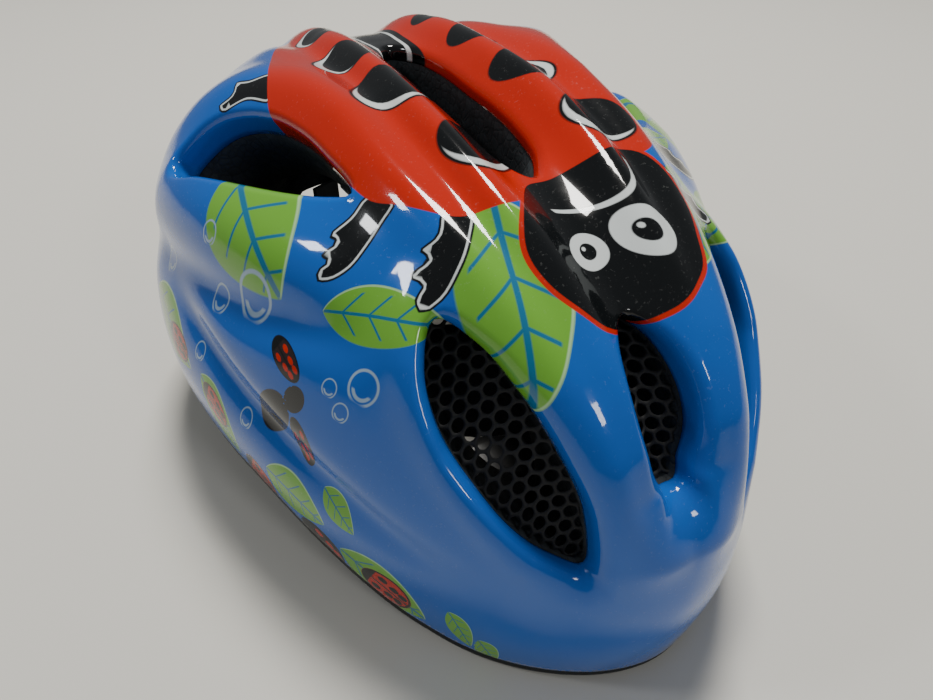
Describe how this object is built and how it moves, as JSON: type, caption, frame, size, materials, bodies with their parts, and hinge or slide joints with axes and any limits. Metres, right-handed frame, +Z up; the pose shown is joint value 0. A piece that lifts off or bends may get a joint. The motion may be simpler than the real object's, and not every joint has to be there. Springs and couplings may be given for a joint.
{
  "type": "child's cycling helmet",
  "caption": "Child's in-moulded cycling helmet: glossy ridged shell over foam, netted front vents, pads, dial-adjusted headband with rear light, straps and side-release buckle.",
  "frame": {"origin": "centre of the bounding box in plan, at the height of the surface that the rim rests on", "axes": "+Z up, -Y the front (brim), +X the wearer's left"},
  "size_m": [0.2008, 0.2678, 0.1346],
  "materials": {
    "shell": "glossy in-moulded polycarbonate, printed",
    "eps_foam": "moulded expanded polystyrene beads",
    "trim": "satin moulded",
    "bug_net": "knitted hexagonal net",
    "pad_fabric": "brushed knit over soft foam",
    "band_plastic": "fine moulded texture",
    "dial_plastic": "satin moulded",
    "pinion_plastic": "moulded acetal",
    "screw_steel": "zinc plated",
    "board": "solder mask",
    "red_lens": "translucent moulded lens",
    "webbing": "woven polyester webbing",
    "buckle_plastic": "fine moulded texture"
  },
  "bodies": {
    "helmet": {"outer_shell": "shell", "foam_liner": "eps_foam", "edge_trim": "trim", "bug_mesh_centre": "bug_net", "bug_mesh_left": "bug_net", "bug_mesh_right": "bug_net", "front_pad": "pad_fabric", "crown_pad_left": "pad_fabric", "crown_pad_right": "pad_fabric", "side_pad_left": "pad_fabric", "side_pad_right": "pad_fabric", "headband_front": "band_plastic", "height_guide": "band_plastic", "front_strap_left": "webbing", "rear_strap_left": "webbing", "strap_divider_left": "buckle_plastic", "front_anchor_left": "buckle_plastic", "rear_anchor_left": "buckle_plastic", "chin_strap_left": "webbing", "front_strap_right": "webbing", "rear_strap_right": "webbing", "strap_divider_right": "buckle_plastic", "front_anchor_right": "buckle_plastic", "rear_anchor_right": "buckle_plastic", "chin_strap_right": "webbing", "chin_pad": "pad_fabric", "strap_keeper": "trim", "buckle_female": "buckle_plastic", "buckle_male": "buckle_plastic"},
    "cradle": {"rear_cradle": "band_plastic", "rear_pad": "pad_fabric", "dial_housing": "band_plastic", "housing_cover": "band_plastic", "housing_screw_left": "screw_steel", "housing_screw_right": "screw_steel", "detent_spring": "screw_steel"},
    "dial": {"dial_knob": "dial_plastic", "drive_pinion": "pinion_plastic", "light_board": "board", "light_cell": "screw_steel"},
    "light_button": {"light_lens": "red_lens"},
    "arm_left": {"band_arm_left": "band_plastic"},
    "arm_right": {"band_arm_right": "band_plastic"},
    "lever_left": {"divider_lever_left": "band_plastic"},
    "lever_right": {"divider_lever_right": "band_plastic"},
    "prong_front": {"buckle_prong_front": "buckle_plastic"},
    "prong_rear": {"buckle_prong_rear": "buckle_plastic"}
  },
  "joints": [
    {"name": "cradle_height", "type": "slide", "parent": "helmet", "child": "cradle", "axis": [0, 0, 1], "range_m": [0, 0.008]},
    {"name": "dial_turn", "type": "hinge", "parent": "cradle", "child": "dial", "pos_m": [0, 0.105, 0.0185], "axis": [0, -1, 0], "range_deg": [-28, 76]},
    {"name": "light_press", "type": "slide", "parent": "dial", "child": "light_button", "axis": [0, -1, 0], "range_m": [0, 0.001], "stiffness_N_per_m": 400, "springref_m": -0.001},
    {"name": "arm_left_slide", "type": "slide", "parent": "cradle", "child": "arm_left", "axis": [-1, 0, 0], "range_m": [-0.003, 0.008]},
    {"name": "arm_right_slide", "type": "slide", "parent": "cradle", "child": "arm_right", "axis": [1, 0, 0], "range_m": [-0.003, 0.008]},
    {"name": "lever_left_turn", "type": "hinge", "parent": "helmet", "child": "lever_left", "pos_m": [0.0404, 0.01, 0.0074], "axis": [0, -1, 0], "range_deg": [0, 100]},
    {"name": "lever_right_turn", "type": "hinge", "parent": "helmet", "child": "lever_right", "pos_m": [-0.0404, 0.01, 0.0074], "axis": [0, 1, 0], "range_deg": [0, 100]},
    {"name": "prong_front_squeeze", "type": "hinge", "parent": "helmet", "child": "prong_front", "pos_m": [0.0084, -0.0562, 0.0068], "axis": [0, 0, -1], "range_deg": [0, 10], "stiffness_Nm_per_rad": 0.05, "springref_deg": -2.86},
    {"name": "prong_rear_squeeze", "type": "hinge", "parent": "helmet", "child": "prong_rear", "pos_m": [0.0084, -0.0438, 0.0068], "axis": [0, 0, 1], "range_deg": [0, 10], "stiffness_Nm_per_rad": 0.05, "springref_deg": -2.86}
  ],
  "couplings": [
    {"joint": "arm_left_slide", "follows": "dial_turn", "m_per_rad": 0.006},
    {"joint": "arm_right_slide", "follows": "dial_turn", "m_per_rad": 0.006}
  ]
}
